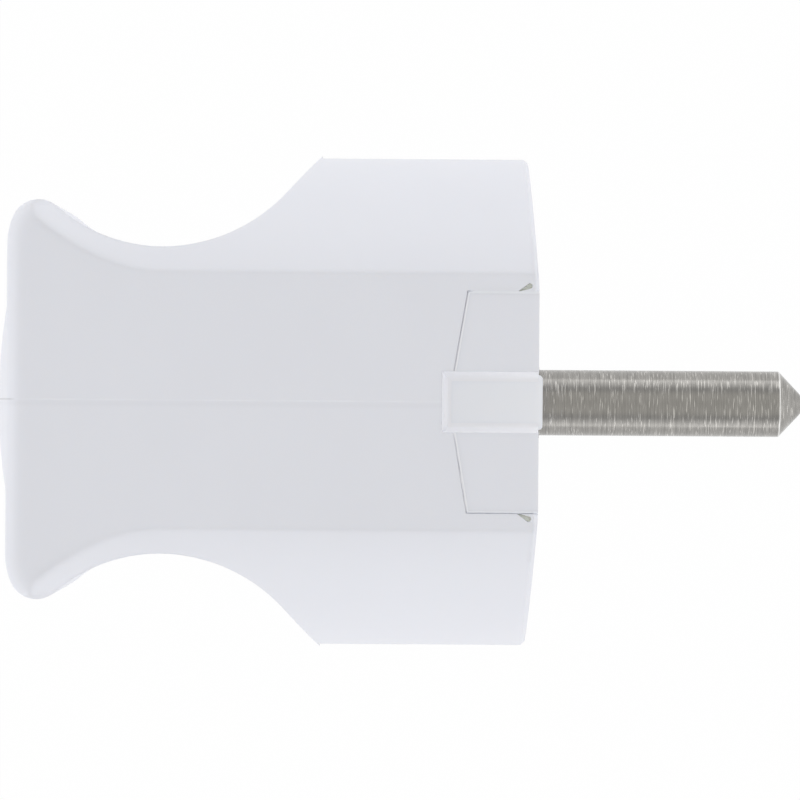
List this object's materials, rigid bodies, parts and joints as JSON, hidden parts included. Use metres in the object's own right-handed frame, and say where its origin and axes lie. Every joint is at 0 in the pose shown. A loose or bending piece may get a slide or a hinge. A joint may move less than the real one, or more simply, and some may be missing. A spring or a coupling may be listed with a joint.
{
  "type": "type f plug",
  "caption": "White rewirable type F mains plug with round pins, side earth contacts, guide grooves, a waisted grip and a rear cable entry.",
  "frame": {"origin": "on the plug's axis, in the engagement plane that the length of the pins is taken from", "axes": "+X along the pins, towards their tips; Z from pin to pin, with the plug lying on its flat side at -Z; Y from earth contact to earth contact"},
  "size_m": [0.059, 0.0364, 0.032],
  "materials": {
    "hood_plastic": "white moulded thermoset, smooth with a soft gloss",
    "carrier_plastic": "white moulded thermoset, smooth with a soft gloss",
    "pin_metal": "nickel-plated, with fine turning marks round the shank",
    "earth_strip": "nickel-plated rolled strip",
    "screw_steel": "zinc-plated steel",
    "clamp_steel": "zinc-plated stamped steel"
  },
  "bodies": {
    "root": {"housing_shell": "hood_plastic", "contact_carrier": "carrier_plastic", "contact_pin_upper": "pin_metal", "contact_pin_lower": "pin_metal", "terminal_screw_upper": "screw_steel", "terminal_screw_lower": "screw_steel", "wire_clamp_upper": "clamp_steel", "wire_clamp_lower": "clamp_steel", "earth_bracket": "earth_strip", "earth_terminal_screw": "screw_steel", "earth_wire_clamp": "clamp_steel", "earth_terminal_nut": "screw_steel", "fixing_screw": "screw_steel", "screw_retaining_ring": "clamp_steel", "fixing_nut": "screw_steel", "cable_clamp_bar": "carrier_plastic", "cable_clamp_screw_upper": "screw_steel", "cable_clamp_screw_lower": "screw_steel", "cable_clamp_nut_upper": "screw_steel", "cable_clamp_nut_lower": "screw_steel"}
  },
  "joints": []
}
